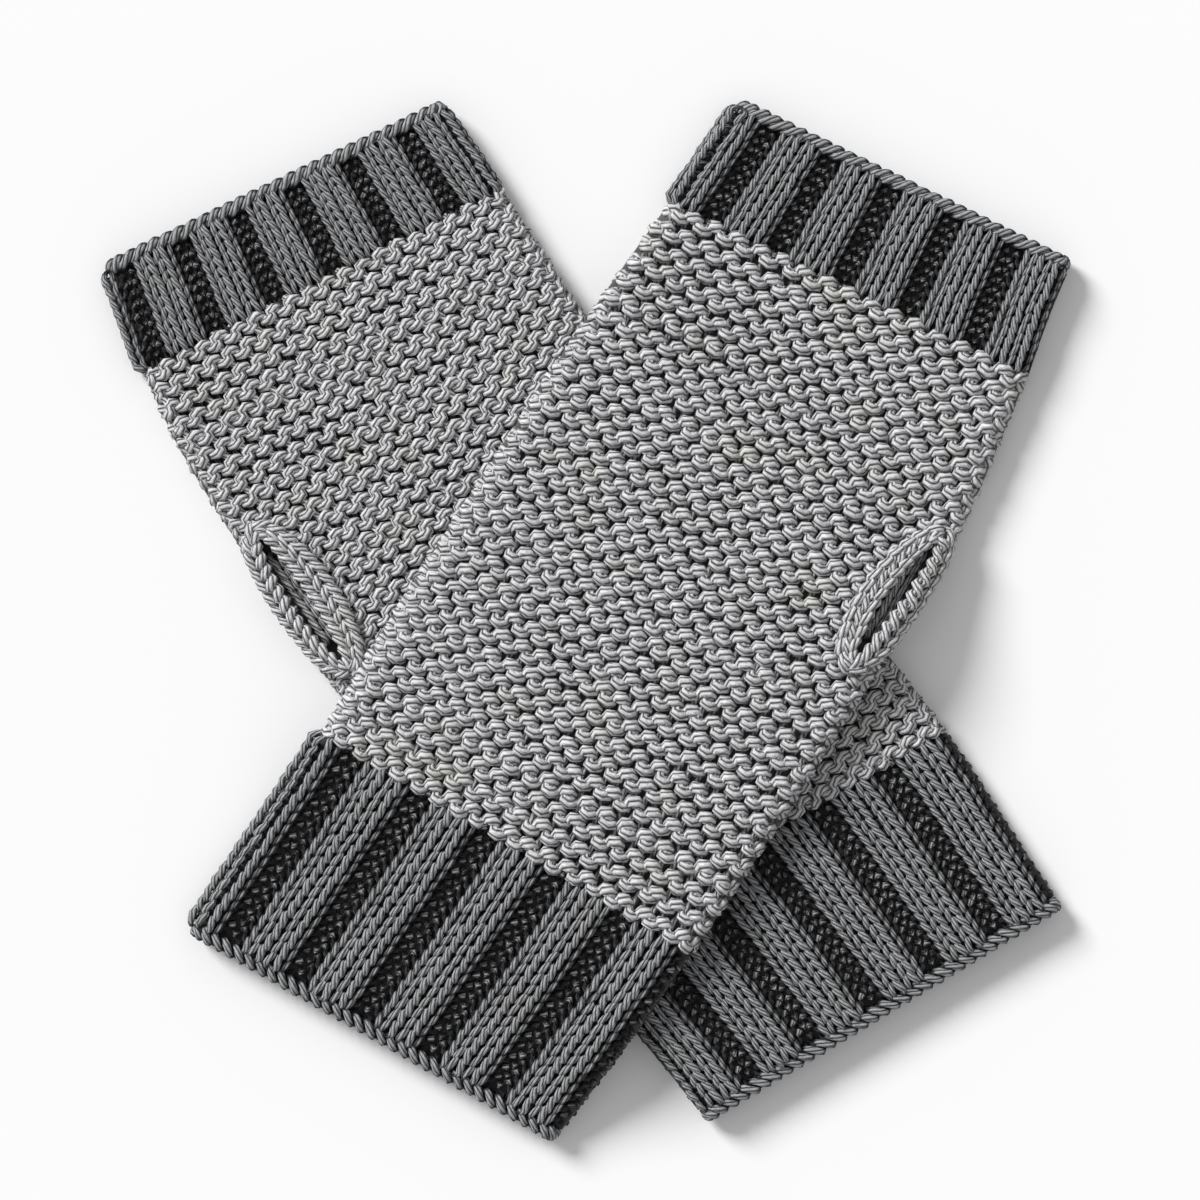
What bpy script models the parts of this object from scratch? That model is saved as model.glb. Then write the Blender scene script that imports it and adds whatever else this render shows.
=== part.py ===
"""A pair of knitted fingerless mitts, laid flat with one across the other.

Each mitt is one tube knitted in the round: an edge of paired loops and a deep ribbed cuff at the
wrist, a light grey hand with a slit for the thumb, a braided border round that slit, and a short
ribbed cuff that ends in a bound-off chain at the fingers. Lengths are in millimetres here and
become metres as each mesh is made. X runs to the viewer's right, Y up the picture and Z up from
the surface that the pair rests on.
"""

import math
from collections import namedtuple

import bmesh
import bpy

MM = 0.001

# Knitted walls. A mitt lies flat, so its two panels rest on each other with a thin hollow between.
UNDER_WALL = 3.0
HOLLOW = 0.6
HAND_WALL = 3.0
GUTTER_WALL = 1.5
RIB_RISE = 1.8
EDGE_WALL = 2.6
CUFF_FOLD_WALL = 2.3
SEAM_GAP = 0.3
EDGE_WIDTH = 2.4
EDGE_ROUNDING = 0.9

# Thumb border, a braid that stands on the hand's surface round the slit.
BORDER_THICK = 2.0
BORDER_STEPS = 26
SLIT_ALLOWANCE = 0.6

# How the upper mitt lies over the lower one.
LIFT_CLEARANCE = 0.3
DRAPE_RUN = 27.0
DRAPE_START = 1.0

# Mesh spacing.
HAND_TOP_COLUMNS = 12
EDGE_TOP_COLUMNS = 14
UNDER_COLUMNS = 11
FOLD_ANGLES = (65.0, 30.0, 0.0, -35.0, -70.0)
RIB_POINTS = (-1.0, -0.82, -0.5, 0.0, 0.5, 0.82)
RIB_FOOT = 0.85
RIB_ROUNDNESS = 3.0
ROW_SPACING = 7.5
SLIT_ROWS = 7
NEAREST_RIB_POINT = 2.4

CHARCOAL_YARN = (0.095, 0.096, 0.102)
LIGHT_GREY_YARN = (0.40, 0.40, 0.41)
YARN_ROUGHNESS = 0.85

# One section across a mitt. along: how far its middle lies from the finger end. left and right:
# half widths to each side, seen from above with the fingers up. turn: how far the knitted row
# slants, in degrees counter-clockwise.
Section = namedtuple("Section", "along left right turn")

# One ribbed cuff. first_gutter and pitch: where the grooves run, as shares of the cuff's width.
Cuff = namedtuple("Cuff", "start end first_gutter pitch")

# The thumb opening. middle: its place along the mitt. slit and border: half lengths. inset: from
# the mitt's side to the slit's middle. bow and slant: how much nearer the side its ends lie, and
# how much farther the wrist end lies than the finger end. gap: the slit's width. hand_band and
# side_band: how wide the border is towards the hand's middle and towards the mitt's side.
Thumb = namedtuple("Thumb", "middle slit border inset bow slant gap hand_band side_band")

# heading: the way from the finger end to the wrist end, in degrees counter-clockwise from +X.
# thumb_side: 1 where the thumb is at the viewer's right, -1 at the left.
Mitt = namedtuple(
    "Mitt", "name finger_x finger_y heading thumb_side sections finger_cuff wrist_cuff thumb"
)

UPPER = Mitt(
    name="upper",
    finger_x=62.7,
    finger_y=86.9,
    heading=-121.9,
    thumb_side=1,
    sections=(
        Section(0.0, 36.5, 36.9, 6.0),
        Section(12.0, 37.0, 38.8, 6.0),
        Section(23.5, 37.7, 41.4, 5.8),
        Section(35.0, 38.3, 43.3, 5.0),
        Section(48.0, 38.9, 45.4, 4.0),
        Section(60.0, 39.4, 46.5, 3.0),
        Section(72.0, 39.7, 46.4, 2.3),
        Section(90.0, 40.1, 46.4, 2.0),
        Section(130.0, 40.8, 45.8, 1.4),
        Section(153.0, 40.3, 44.9, 1.1),
        Section(180.0, 41.2, 43.3, 1.7),
        Section(199.9, 41.9, 41.7, 2.1),
    ),
    finger_cuff=Cuff(-0.8, 23.5, 0.113, 0.1825),
    wrist_cuff=Cuff(153.0, 199.9, 0.092, 0.181),
    thumb=Thumb(73.2, 14.0, 17.0, 5.1, 0.8, 0.9, 3.2, 4.8, 4.2),
)

LOWER = Mitt(
    name="lower",
    finger_x=-61.6,
    finger_y=86.7,
    heading=-53.9,
    thumb_side=-1,
    sections=(
        Section(0.0, 38.0, 36.7, -10.4),
        Section(12.0, 41.4, 36.3, -9.8),
        Section(20.9, 44.0, 35.9, -9.2),
        Section(35.0, 47.0, 35.1, -8.3),
        Section(50.0, 48.4, 34.3, -7.4),
        Section(75.0, 49.8, 35.3, -6.6),
        Section(100.0, 50.2, 38.3, -6.3),
        Section(130.0, 48.1, 42.4, -6.2),
        Section(161.7, 44.1, 43.5, -6.0),
        Section(190.0, 41.5, 42.2, -5.4),
        Section(204.3, 41.0, 41.5, -5.0),
    ),
    finger_cuff=Cuff(-0.8, 20.9, 0.047, 0.1645),
    wrist_cuff=Cuff(161.7, 204.3, 0.151, 0.1715),
    thumb=Thumb(75.0, 15.2, 17.9, 4.6, 0.0, 0.0, 3.5, 5.8, 3.9),
)

UNDER_TOP = UNDER_WALL + HOLLOW
HAND_HEIGHT = UNDER_TOP + HAND_WALL
GUTTER_HEIGHT = UNDER_TOP + GUTTER_WALL
EDGE_HEIGHT = UNDER_TOP + EDGE_WALL
CREST_HEIGHT = GUTTER_HEIGHT + RIB_RISE
LIFT = max(CREST_HEIGHT, HAND_HEIGHT) + LIFT_CLEARANCE

# A place round a flattened tube. flat "top" or "under": at is a share of the flat's half width,
# from -1 at the left to 1 at the right. flat None: a fold on that side, at an angle in degrees
# from level, up towards the top.
Column = namedtuple("Column", "flat side at")


def smooth_table(sections, along, field):
    """The value of one column of the sections' table, on a smooth curve through its rows."""
    rows = [(row.along, getattr(row, field)) for row in sections]
    slopes = []
    for i in range(len(rows)):
        (a0, v0), (a1, v1) = rows[max(i - 1, 0)], rows[min(i + 1, len(rows) - 1)]
        slopes.append((v1 - v0) / (a1 - a0))
    i = 0
    while i < len(rows) - 2 and along > rows[i + 1][0]:
        i += 1
    (a0, v0), (a1, v1) = rows[i], rows[i + 1]
    span = a1 - a0
    t = min(max((along - a0) / span, 0.0), 1.0)
    return (
        v0 * (1 + 2 * t) * (1 - t) ** 2
        + v1 * t * t * (3 - 2 * t)
        + span * t * (1 - t) * (slopes[i] * (1 - t) - slopes[i + 1] * t)
    )


def plan_point(mitt, along, across):
    """The x and y of a place on a mitt, along it and then across it on the slanting row."""
    heading = math.radians(mitt.heading)
    row = heading + math.radians(90 + smooth_table(mitt.sections, along, "turn"))
    x = mitt.finger_x + along * math.cos(heading) + across * math.cos(row)
    y = mitt.finger_y + along * math.sin(heading) + across * math.sin(row)
    return x, y


def distance_outside(mitt, x, y):
    """How far a point lies outside a mitt's outline, and below zero inside it."""
    heading = math.radians(mitt.heading)
    dx, dy = x - mitt.finger_x, y - mitt.finger_y
    along = dx * math.cos(heading) + dy * math.sin(heading)
    across = dy * math.cos(heading) - dx * math.sin(heading)
    length = mitt.sections[-1].along
    inside_along = min(max(along, 0.0), length)
    side = "right" if across > 0 else "left"
    beside = abs(across) - smooth_table(mitt.sections, inside_along, side)
    beyond = max(-along, along - length)
    if beside > 0 and beyond > 0:
        return math.hypot(beside, beyond)
    return max(beside, beyond)


def lift(mitt, x, y):
    """How high the drape holds a mitt's underside: over the lower mitt, easing down outside it."""
    if mitt is not UPPER:
        return 0.0
    t = 1 - (distance_outside(LOWER, x, y) - DRAPE_START) / DRAPE_RUN
    t = min(max(t, 0.0), 1.0)
    return LIFT * t * t * (3 - 2 * t)


def world(mitt, along, across, height):
    x, y = plan_point(mitt, along, across)
    return x, y, height + lift(mitt, x, y)


def half_width(mitt, along, side):
    return smooth_table(mitt.sections, along, "right" if side > 0 else "left")


def on_tube(mitt, along, column, height, inset=0.0, base=0.0, out=0.0):
    """A point on a flattened tube of this height above base, its sides drawn in by inset."""
    radius = height / 2
    reach = half_width(mitt, along, column.side) - inset - radius
    if column.flat:
        across, level = column.at * reach, (radius + out) * (1 if column.flat == "top" else -1)
    else:
        angle = math.radians(column.at)
        across = reach + (radius + out) * math.cos(angle)
        level = (radius + out) * math.sin(angle)
    return world(mitt, along, column.side * across, base + radius + level)


def across_of(mitt, along, column, height):
    """How far right of a mitt's middle line a column lies, seen from above."""
    radius = height / 2
    reach = half_width(mitt, along, column.side) - radius
    if column.flat:
        return column.side * column.at * reach
    return column.side * (reach + radius * math.cos(math.radians(column.at)))


def all_round(top_places):
    """The columns round a tube: the top from left to right, a fold, the underside, a fold."""
    columns = [Column("top", 1 if at > 0 else -1, abs(at)) for at in top_places]
    columns += [Column(None, 1, angle) for angle in FOLD_ANGLES]
    for i in range(UNDER_COLUMNS):
        at = 1 - 2 * i / (UNDER_COLUMNS - 1)
        columns.append(Column("under", 1 if at > 0 else -1, abs(at)))
    columns += [Column(None, -1, angle) for angle in reversed(FOLD_ANGLES)]
    return columns


def evenly(count):
    return [-1 + 2 * i / (count - 1) for i in range(count)]


def stations(start, end):
    count = max(round((end - start) / ROW_SPACING), 2)
    return [start + (end - start) * i / count for i in range(count + 1)]


def yarn(name, colour):
    material = bpy.data.materials.new(name)
    material.use_nodes = True
    shader = material.node_tree.nodes["Principled BSDF"]
    shader.inputs["Base Color"].default_value = (*colour, 1.0)
    shader.inputs["Roughness"].default_value = YARN_ROUGHNESS
    shader.inputs["Metallic"].default_value = 0.0
    return material


def finish_mesh(name, bm, material):
    bmesh.ops.recalc_face_normals(bm, faces=bm.faces)
    bmesh.ops.scale(bm, vec=(MM, MM, MM), verts=bm.verts)
    mesh = bpy.data.meshes.new(name)
    bm.to_mesh(mesh)
    bm.free()
    mesh.materials.append(material)
    mesh.shade_smooth()
    mesh.set_sharp_from_angle(angle=math.radians(50))
    piece = bpy.data.objects.new(name, mesh)
    bpy.context.scene.collection.objects.link(piece)
    return piece


def add_rings(bm, rings):
    return [[bm.verts.new(point) for point in ring] for ring in rings]


def join_rings(bm, first, second, skip=None):
    """Quads between two rings with the same number of points. skip leaves out one column's."""
    for i in range(len(first)):
        j = (i + 1) % len(first)
        if i != skip:
            bm.faces.new((first[i], first[j], second[j], second[i]))


def knitted_wall(name, outer_rings, inner_rings, material, slit=None):
    """A wall between an outer and an inner tube. slit gives a cut's column and rows."""
    bm = bmesh.new()
    outer, inner = add_rings(bm, outer_rings), add_rings(bm, inner_rings)
    column, first_row, last_row = slit or (None, 0, 0)
    for rings in (outer, inner):
        for row in range(len(rings) - 1):
            cut = slit and first_row <= row < last_row
            join_rings(bm, rings[row], rings[row + 1], column if cut else None)
    join_rings(bm, outer[0], inner[0])
    join_rings(bm, outer[-1], inner[-1])
    if slit:
        after = column + 1
        rim = [(row, column) for row in range(first_row, last_row)]
        rim += [(last_row, column), (last_row, after)]
        rim += [(row, after) for row in range(last_row - 1, first_row - 1, -1)]
        for (row, col), (next_row, next_col) in zip(rim, rim[1:] + rim[:1]):
            bm.faces.new(
                (
                    outer[row][col],
                    outer[next_row][next_col],
                    inner[next_row][next_col],
                    inner[row][col],
                )
            )
    return finish_mesh(name, bm, material)


def rib_rise(mitt, cuff, along, column):
    """How far a cuff's surface stands above its grooves at a column: rounded ribs, plain below."""
    if column.flat == "under":
        return 0.0
    left = half_width(mitt, along, -1)
    share = (left + across_of(mitt, along, column, GUTTER_HEIGHT)) / (
        left + half_width(mitt, along, 1)
    )
    place = ((share - cuff.first_gutter) / cuff.pitch) % 1.0
    rise = RIB_RISE * max(1 - abs((2 * place - 1) / RIB_FOOT) ** RIB_ROUNDNESS, 0.0)
    if column.flat:
        return rise
    return rise * min(max((math.sin(math.radians(column.at)) + 0.3) / 1.2, 0.0), 1.0)


def rib_places(mitt, cuff):
    """Where a cuff's top has points, from -1 to 1: a few for each rib, clear of the folds."""
    middle = (cuff.start + cuff.end) / 2
    left, right = half_width(mitt, middle, -1), half_width(mitt, middle, 1)
    radius = GUTTER_HEIGHT / 2
    places = [-1.0]
    for rib in range(-1, math.ceil(1 / cuff.pitch) + 1):
        for point in RIB_POINTS:
            share = cuff.first_gutter + cuff.pitch * (rib + (point + 1) / 2)
            across = share * (left + right) - left
            reach = (right if across > 0 else left) - radius
            if abs(across) < reach - NEAREST_RIB_POINT / 2:
                places.append(across / reach)
    return places + [1.0]


def ribbed_cuff(mitt, name, cuff, start, end, material):
    """A ribbed tube. The ribs are in the outer points, over a plain inside."""
    columns = all_round(rib_places(mitt, cuff))
    outer, inner = [], []
    for along in stations(start, end):
        ring = []
        for column in columns:
            rise = rib_rise(mitt, cuff, along, column)
            ring.append(on_tube(mitt, along, column, GUTTER_HEIGHT, out=rise))
        outer.append(ring)
        inner.append(
            [
                on_tube(mitt, along, column, HOLLOW, CUFF_FOLD_WALL, UNDER_WALL)
                for column in columns
            ]
        )
    return knitted_wall(f"{mitt.name}_{name}", outer, inner, material)


def mouth_edge(mitt, name, lip, seam, material):
    """The rounded edge at one mouth, from its lip to the seam with the cuff."""
    columns = all_round(evenly(EDGE_TOP_COLUMNS))
    inward = 1 if seam > lip else -1
    profile = ((0.0, -EDGE_ROUNDING), (0.3, -0.4), (0.8, 0.0), (1.0, 0.0))
    outer = []
    for share, out in profile:
        along = lip + inward * share * EDGE_WIDTH
        outer.append(
            [
                on_tube(mitt, along, column, EDGE_HEIGHT, out=out if column.flat != "under" else 0.0)
                for column in columns
            ]
        )
    inner = [
        [on_tube(mitt, along, column, HOLLOW, EDGE_WALL, UNDER_WALL) for column in columns]
        for along in (lip + inward * EDGE_ROUNDING / 3, seam)
    ]
    return knitted_wall(f"{mitt.name}_{name}", outer, inner, material)


def slit_inset(thumb, along):
    """How far the slit's middle lies from the mitt's side."""
    share = (along - thumb.middle) / thumb.slit
    return thumb.inset - thumb.bow * share * share + thumb.slant * share


def slit_columns(mitt, along):
    """The shares of the hand's half width at which the slit's two sides lie."""
    thumb = mitt.thumb
    reach = half_width(mitt, along, mitt.thumb_side) - HAND_HEIGHT / 2
    beside = min(max(along, thumb.middle - thumb.slit), thumb.middle + thumb.slit)
    share = (beside - thumb.middle) / thumb.slit
    half_gap = thumb.gap / 2 + SLIT_ALLOWANCE
    half = half_gap * (0.2 + 0.8 * math.sqrt(max(1 - share * share, 0.0)))
    middle = reach + HAND_HEIGHT / 2 - slit_inset(thumb, beside)
    return min((middle + half) / reach, 0.995), (middle - half) / reach


def hand_rings(mitt, rows):
    """The hand's outer and inner rings, with two columns that follow the sides of the slit."""
    outer, inner = [], []
    clear = min(slit_columns(mitt, along)[1] for along in rows) - 0.05
    plain = [at for at in evenly(HAND_TOP_COLUMNS)[1:-1] if at * mitt.thumb_side < clear]
    for along in rows:
        near, far = slit_columns(mitt, along)
        pair = [mitt.thumb_side * far, mitt.thumb_side * near]
        columns = all_round([-1.0] + sorted(plain + pair) + [1.0])
        outer.append([on_tube(mitt, along, column, HAND_HEIGHT) for column in columns])
        inner.append(
            [on_tube(mitt, along, column, HOLLOW, HAND_WALL, UNDER_WALL) for column in columns]
        )
    return outer, inner


def hand(mitt, start, end, material):
    """The hand: a plain tube with the thumb's slit cut through its top panel near one side."""
    thumb = mitt.thumb
    first, last = thumb.middle - thumb.slit, thumb.middle + thumb.slit
    slit_rows = [
        thumb.middle - thumb.slit * math.cos(math.pi * i / SLIT_ROWS) for i in range(SLIT_ROWS + 1)
    ]
    rows = stations(start, first)[:-1] + slit_rows + stations(last, end)[1:]
    outer, inner = hand_rings(mitt, rows)
    top_count = len(outer[0]) - UNDER_COLUMNS - 2 * len(FOLD_ANGLES)
    column = top_count - 3 if mitt.thumb_side > 0 else 1
    first_row = len(stations(start, first)) - 1
    slit = (column, first_row, first_row + SLIT_ROWS)
    return knitted_wall(f"{mitt.name}_body", outer, inner, material, slit)


def on_hand_side(mitt, along, inset, out):
    """A point on the hand's top near the thumb side, inset from that side, and round its fold."""
    radius = HAND_HEIGHT / 2
    width = half_width(mitt, along, mitt.thumb_side)
    past = max(radius - inset, 0.0) / radius
    across = width - max(inset, radius) + (radius + out) * math.sin(past)
    height = radius + (radius + out) * math.cos(past)
    return world(mitt, along, mitt.thumb_side * across, height)


def thumb_border(mitt, material):
    """A rounded band round the slit, made from the hand's own surface and moved out."""
    thumb = mitt.thumb
    low, high = SEAM_GAP, SEAM_GAP + BORDER_THICK
    middle = (low + high) / 2
    profile = (
        (0.07, low),
        (0.5, low),
        (0.93, low),
        (1.0, middle),
        (0.84, high - 0.25),
        (0.5, high),
        (0.16, high - 0.25),
        (0.0, middle),
    )
    bm = bmesh.new()
    rings = []
    for step in range(BORDER_STEPS):
        turn = 2 * math.pi * step / BORDER_STEPS
        band = thumb.hand_band if math.sin(turn) > 0 else thumb.side_band
        inner_along, inner_in = thumb.slit * math.cos(turn), thumb.gap / 2 * math.sin(turn)
        outer_along = thumb.border * math.cos(turn)
        outer_in = (thumb.gap / 2 + band) * math.sin(turn)
        ring = []
        for share, out in profile:
            along = thumb.middle + inner_along + share * (outer_along - inner_along)
            inset = slit_inset(thumb, along) + inner_in + share * (outer_in - inner_in)
            ring.append(on_hand_side(mitt, along, inset, out))
        rings.append(ring)
    rings = add_rings(bm, rings)
    for ring, following in zip(rings, rings[1:] + rings[:1]):
        join_rings(bm, ring, following)
    return finish_mesh(f"{mitt.name}_thumb_border", bm, material)


def knit_mitt(mitt, charcoal, light_grey):
    finger, wrist = mitt.finger_cuff, mitt.wrist_cuff
    half_gap = SEAM_GAP / 2
    finger_seam, wrist_seam = finger.start + EDGE_WIDTH, wrist.end - EDGE_WIDTH
    mouth_edge(mitt, "bind_off", finger.start, finger_seam, charcoal)
    ribbed_cuff(
        mitt, "finger_rib", finger, finger_seam + SEAM_GAP, finger.end - half_gap, charcoal
    )
    hand(mitt, finger.end + half_gap, wrist.start - half_gap, light_grey)
    thumb_border(mitt, light_grey)
    ribbed_cuff(
        mitt, "wrist_rib", wrist, wrist.start + half_gap, wrist_seam - SEAM_GAP, charcoal
    )
    mouth_edge(mitt, "cast_on", wrist.end, wrist_seam, charcoal)


def main():
    for piece in list(bpy.data.objects):
        bpy.data.objects.remove(piece)
    charcoal = yarn("charcoal_yarn", CHARCOAL_YARN)
    light_grey = yarn("light_grey_yarn", LIGHT_GREY_YARN)
    for mitt in (LOWER, UPPER):
        knit_mitt(mitt, charcoal, light_grey)


main()
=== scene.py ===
"""Looks of a pair of knitted fingerless mitts, laid flat with one across the other.

Every stitch that shows is real yarn: each row is one strand bent into loops that hook through the
rows beside it, laid over a thin base of cloth that closes the tube underneath. Lengths are in
millimetres and become metres as each mesh is made. Along runs from a mitt's finger end to its
wrist end, across from its middle line to the viewer's right with the fingers up.
"""

import math
from collections import namedtuple

import bmesh
import bpy
import numpy as np
from bpy.props import FloatProperty, FloatVectorProperty, IntProperty, PointerProperty
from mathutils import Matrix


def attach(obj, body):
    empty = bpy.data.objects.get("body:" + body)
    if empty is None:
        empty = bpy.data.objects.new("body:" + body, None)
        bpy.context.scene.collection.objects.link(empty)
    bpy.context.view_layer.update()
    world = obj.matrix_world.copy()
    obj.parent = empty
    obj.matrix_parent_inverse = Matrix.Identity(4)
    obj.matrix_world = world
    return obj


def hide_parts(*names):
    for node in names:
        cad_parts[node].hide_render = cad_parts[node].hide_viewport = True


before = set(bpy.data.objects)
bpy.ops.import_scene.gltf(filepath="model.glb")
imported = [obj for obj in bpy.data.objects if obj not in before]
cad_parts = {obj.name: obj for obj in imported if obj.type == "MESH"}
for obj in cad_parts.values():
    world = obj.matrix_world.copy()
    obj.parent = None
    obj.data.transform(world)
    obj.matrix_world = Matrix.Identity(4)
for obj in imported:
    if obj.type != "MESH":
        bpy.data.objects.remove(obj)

bl_info = {
    "name": "Knitted Fingerless Mitts",
    "version": (1, 0, 0),
    "blender": (4, 5, 0),
    "location": "3D View > Sidebar > Mitts",
    "description": "Knits a pair of fingerless mitts from real loops of yarn",
    "category": "Object",
}

MM = 0.001

# Sizes that the solids have too. First the heights of the top of the hollow, of the hand, of the
# cuffs in their grooves and of their edges.
UNDER_TOP = 3.6
HAND_HEIGHT = 6.6
GUTTER_HEIGHT = 5.1
EDGE_HEIGHT = 6.2

# How high a rib rises, the share of its pitch that its foot takes up, and how square it is.
RIB_RISE = 1.8
RIB_FOOT = 0.85
RIB_ROUNDNESS = 3.0

# How high the upper mitt is lifted over the lower one, and over what length it comes down, which
# starts this far outside the lower one's outline.
LIFT = 7.2
DRAPE_RUN = 27.0
DRAPE_START = 1.0

# How far an edge goes along the mitt, and how far the thumb's border stands off the hand.
EDGE_WIDTH = 2.4
BORDER_THICK = 2.0

# The base of cloth lies this far below the solids' tops, under the yarn, and keeps this much wall.
# Points closer than MERGE are one, and normals further down than DOWNWARD belong to the underside.
BASE_SINK = 2.4
BASE_WALL = 0.15
MERGE = 0.01
DOWNWARD = -0.3

# How far round a fold the yarn goes, in radians from the top, and how far off the underside it stays.
HAND_FOLD_REACH = 2.5
CUFF_FOLD_REACH = 1.75
FOLD_CLEARANCE = 0.1

# The lower mitt's yarn ends this far inside the upper mitt's outline.
COVERED = 7.0

# Where a mitt's sides are at one place along it, left and right of its middle line, and how many
# degrees its rows are turned there.
Section = namedtuple("Section", "along left right turn")

# Where a cuff starts and ends, and its first groove's middle and the ribs' pitch as shares of its
# width.
Cuff = namedtuple("Cuff", "start end first_gutter pitch")

# A thumb's slit: where along the mitt its middle lies, half its own and its border's length, how far
# in from the side it lies, bows and slants, how wide it gapes, and the widths of the border's bands
# towards the hand and the side.
Thumb = namedtuple("Thumb", "middle slit border inset bow slant gap hand_band side_band")

# How one yarn runs through a row. stitch and row: how wide and high one stitch is. overlap: how far
# a loop's head reaches past the next row's foot. bulge: how far a loop swells at its head and foot,
# and lean: how far it leans, as shares of a stitch. depth: how far heads stand before legs, and
# roll: how far left legs stand before right ones. yarn: how thick it looks, left: how much thicker
# left legs are, and swell: how much thicker what shows of a loop is than what lies squeezed behind,
# both as shares. flat: how much flatter a loop's head and foot are than round, 0.12 for straight.
# twist: how far the left end of each stands before its right end.
Stitch = namedtuple("Stitch", "stitch row overlap bulge lean depth roll yarn left swell flat twist")

# A mouth's edge: how many strands go round each other in each length called lay, how far they
# swing along the mitt and in height, how far they lean along the edge, their thickness, and the
# points in each turn.
Edge = namedtuple("Edge", "strands lay wide high lean yarn points")
BIND_OFF = Edge(2, 5.4, 0.85, 0.6, 0.3, 1.75, 12)
CAST_ON = Edge(1, 2.5, 1.0, 0.6, 0.6, 1.5, 12)

# Both mitts' finger cuffs are knitted alike.
FINGER_STITCH = Stitch(2.9, 2.2, 1.9, 0.18, 0.0, 0.45, 0.1, 1.1, 0.08, 0.25, 0.0, 0.0)

# finger_x and finger_y: where the middle line starts, at the finger end. heading: which way it runs,
# in degrees. thumb_side: 1 for the right and -1 for the left. finger_spread: how much wider the hand's
# stitches are by the finger cuff. row_slant: how many degrees the middle rows slant. border_row: how
# high the thumb border's stitches are.
Mitt = namedtuple(
    "Mitt",
    "name finger_x finger_y heading thumb_side sections finger_cuff wrist_cuff thumb"
    " hand_stitch finger_stitch wrist_stitch finger_spread row_slant border_row",
)

UPPER = Mitt(
    name="upper",
    finger_x=62.7,
    finger_y=86.9,
    heading=-121.9,
    thumb_side=1,
    sections=(
        Section(0.0, 36.5, 36.9, 6.0),
        Section(12.0, 37.0, 38.8, 6.0),
        Section(23.5, 37.7, 41.4, 5.8),
        Section(35.0, 38.3, 43.3, 5.0),
        Section(48.0, 38.9, 45.4, 4.0),
        Section(60.0, 39.4, 46.5, 3.0),
        Section(72.0, 39.7, 46.4, 2.3),
        Section(90.0, 40.1, 46.4, 2.0),
        Section(130.0, 40.8, 45.8, 1.4),
        Section(153.0, 40.3, 44.9, 1.1),
        Section(180.0, 41.2, 43.3, 1.7),
        Section(199.9, 41.9, 41.7, 2.1),
    ),
    finger_cuff=Cuff(-0.8, 23.5, 0.113, 0.1825),
    wrist_cuff=Cuff(153.0, 199.9, 0.092, 0.181),
    thumb=Thumb(73.2, 14.0, 17.0, 5.1, 0.8, 0.9, 3.2, 4.8, 4.2),
    hand_stitch=Stitch(4.42, 4.17, 2.0, 0.17, 0.024, 0.6, -0.1, 2.2, 0.0, 0.3, 0.08, 0.45),
    finger_stitch=FINGER_STITCH,
    wrist_stitch=Stitch(2.9, 2.55, 2.0, 0.185, -0.03, 0.5, 0.1, 1.24, 0.08, 0.26, 0.0, 0.0),
    finger_spread=0.5,
    row_slant=-3.5,
    border_row=3.0,
)

LOWER = Mitt(
    name="lower",
    finger_x=-61.6,
    finger_y=86.7,
    heading=-53.9,
    thumb_side=-1,
    sections=(
        Section(0.0, 38.0, 36.7, -10.4),
        Section(12.0, 41.4, 36.3, -9.8),
        Section(20.9, 44.0, 35.9, -9.2),
        Section(35.0, 47.0, 35.1, -8.3),
        Section(50.0, 48.4, 34.3, -7.4),
        Section(75.0, 49.8, 35.3, -6.6),
        Section(100.0, 50.2, 38.3, -6.3),
        Section(130.0, 48.1, 42.4, -6.2),
        Section(161.7, 44.1, 43.5, -6.0),
        Section(190.0, 41.5, 42.2, -5.4),
        Section(204.3, 41.0, 41.5, -5.0),
    ),
    finger_cuff=Cuff(-0.8, 20.9, 0.047, 0.1645),
    wrist_cuff=Cuff(161.7, 204.3, 0.151, 0.1715),
    thumb=Thumb(75.0, 15.2, 17.9, 4.6, 0.0, 0.0, 3.5, 5.8, 3.9),
    hand_stitch=Stitch(3.97, 3.67, 2.0, 0.2, 0.0, 0.55, 0.5, 1.9, 0.0, 0.18, 0.02, 0.0),
    finger_stitch=FINGER_STITCH,
    wrist_stitch=Stitch(2.9, 2.33, 2.0, 0.185, 0.0, 0.5, 0.1, 1.16, 0.08, 0.26, 0.0, 0.0),
    finger_spread=0.0,
    row_slant=0.0,
    border_row=2.65,
)

# The stitches inside a mitt, seen through the thumb's slit: how many in a row, how far in from the
# fold the row's middle lies, and how deep in the slit's shade.
LINING = Stitch(3.0, 2.4, 2.0, 0.19, 0.0, 0.35, 0.1, 1.3, 0.1, 0.15, 0.0, 0.0)
LINING_STITCHES = 6
LINING_INSET = 6.0
LINING_SHADE = 1.5

# Where one rib's stitches meet, as shares of its pitch from the middle of a groove: a purl stitch,
# three knit stitches and a purl stitch. The yarn goes from one side of the cloth to the other within
# 2 / FACE_CHANGE of a stitch.
RIB_STITCH_EDGES = (0.0, 0.16, 0.375, 0.625, 0.84, 1.0)
KNIT_PER_RIB = 3
FACE_CHANGE = 4

# In the grooves between ribs the yarn lies this many millimetres deeper, is this much thinner and
# straighter, and dips this much more, as shares. Its shade is that of yarn this much deeper again.
GROOVE_DEEPER = 0.35
GROOVE_THINNER = 0.26
GROOVE_STRAIGHTER = 0.5
GROOVE_STEEPER = 0.5
GROOVE_DARKER = 0.45

# The yarn's outermost parts stand this far above the solids, and the cloth steps from a hand's
# height to a cuff's over this length. The middles of a hand's outermost stitches lie this far inside
# its seams. Stitches spread by the finger cuff over this length.
PROUD = 0.35
SEAM_STEP = 3.0
SEAM_INSET = 1.8
SPREAD_RUN = 50.0

# A hand's row is this many times as long as the mitt's widest half.
ROW_LENGTH = 2.25

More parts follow.
